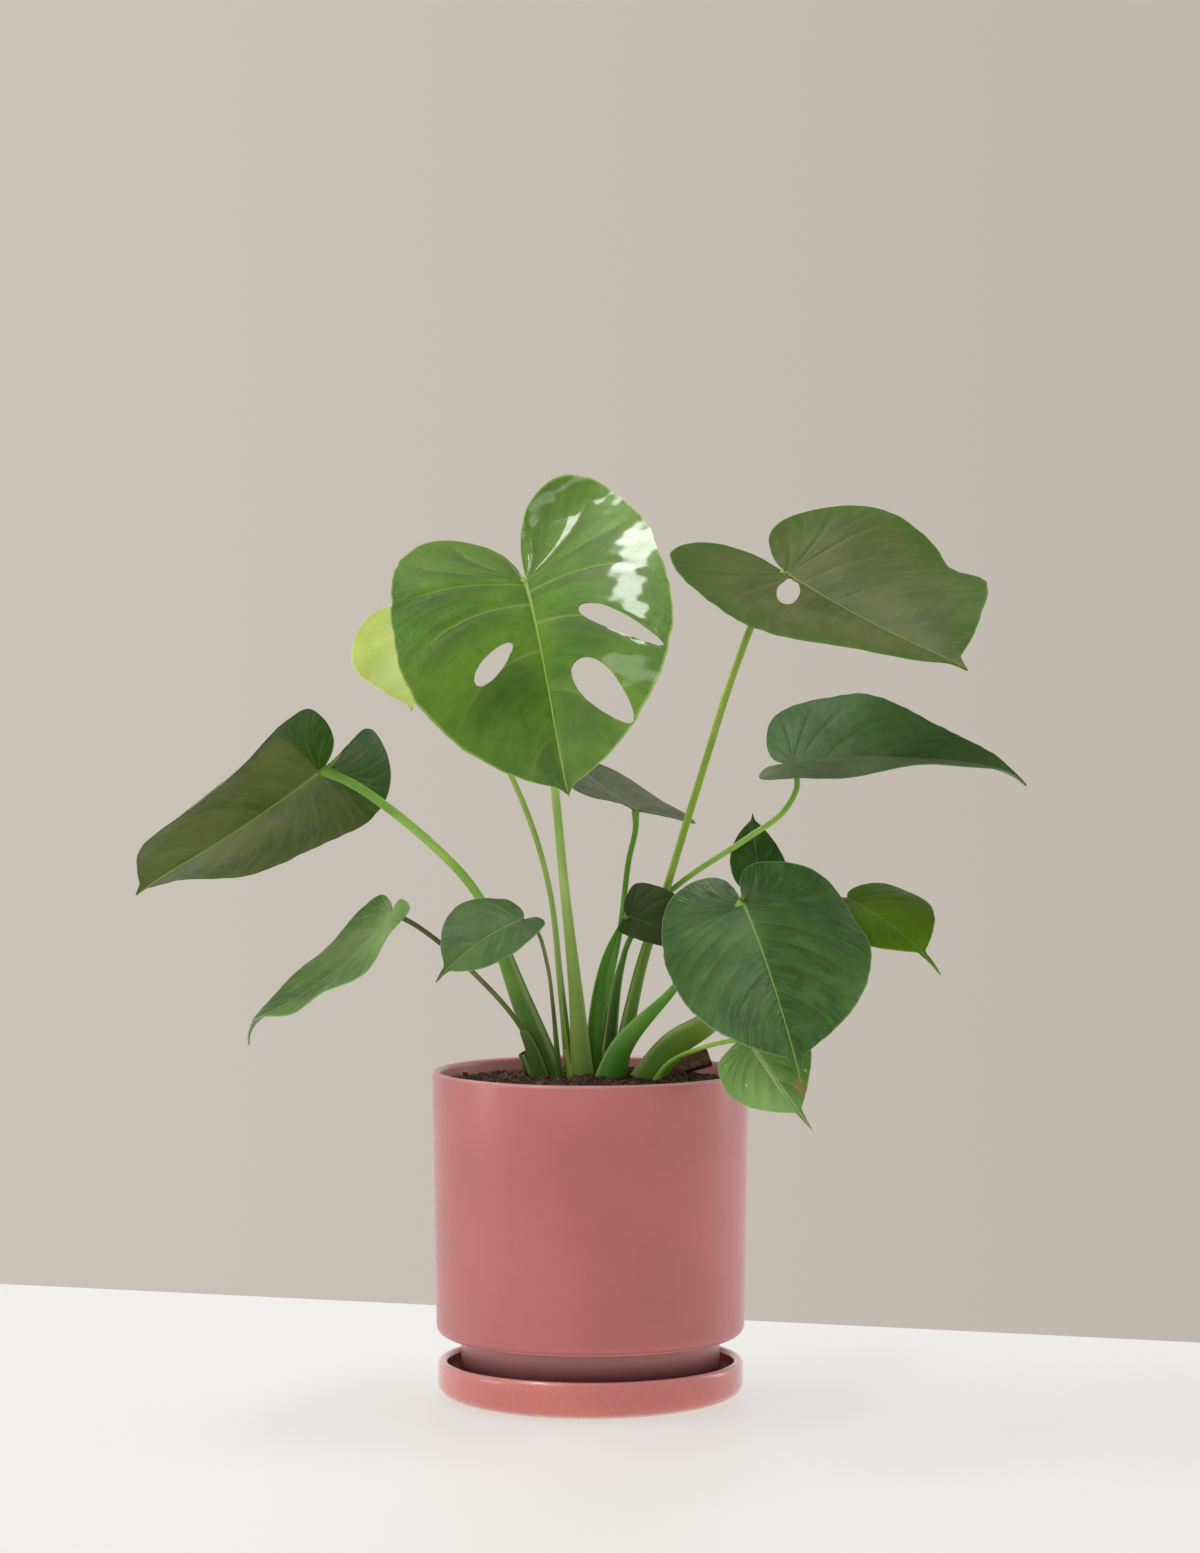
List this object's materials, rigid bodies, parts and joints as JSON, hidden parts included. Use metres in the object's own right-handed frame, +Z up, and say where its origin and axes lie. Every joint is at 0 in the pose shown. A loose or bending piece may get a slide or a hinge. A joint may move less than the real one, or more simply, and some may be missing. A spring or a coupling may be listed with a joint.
{
  "type": "potted monstera plant",
  "caption": "Young monstera with heart-shaped and windowed leaves on arching stalks, rooted in a round ceramic pot that stands on a matching saucer.",
  "frame": {"origin": "centre of the saucer underside, on the surface it stands on", "axes": "+Z up, -Y towards the front of the plant, +X to the right seen from the front"},
  "size_m": [0.5095, 0.285, 0.5242],
  "materials": {
    "saucer_glaze": "gloss",
    "pot_glaze": "satin",
    "soil": "matte",
    "stalk": "satin",
    "leaf_fresh": "gloss",
    "leaf_pale": "satin",
    "leaf_dusky": "satin",
    "leaf_deep": "satin",
    "leaf_olive": "satin",
    "leaf_silver": "satin",
    "leaf_lime": "satin",
    "bark": "matte"
  },
  "bodies": {
    "root": {"saucer": "saucer_glaze", "pot": "pot_glaze", "soil": "soil", "bud_sheath": "stalk", "stalk_front": "stalk", "stalk_back_pale": "stalk", "stalk_top_right": "stalk", "stalk_right": "stalk", "stalk_left": "stalk", "stalk_left_narrow": "stalk", "stalk_left_small": "stalk", "stalk_back_centre": "stalk", "stalk_centre_small": "stalk", "stalk_front_right": "stalk", "stalk_right_upright": "stalk", "stalk_right_low": "stalk", "stalk_over_rim": "stalk", "cut_sheath": "stalk", "leaf_front": "leaf_fresh", "leaf_back_pale": "leaf_pale", "leaf_top_right": "leaf_dusky", "leaf_right": "leaf_deep", "leaf_left": "leaf_olive", "leaf_left_narrow": "leaf_silver", "leaf_left_small": "leaf_silver", "leaf_back_centre": "leaf_dusky", "leaf_centre_small": "leaf_deep", "leaf_front_right": "leaf_deep", "leaf_right_upright": "leaf_deep", "leaf_right_low": "leaf_lime", "leaf_over_rim": "leaf_silver", "bark_chunk": "bark"}
  },
  "joints": []
}
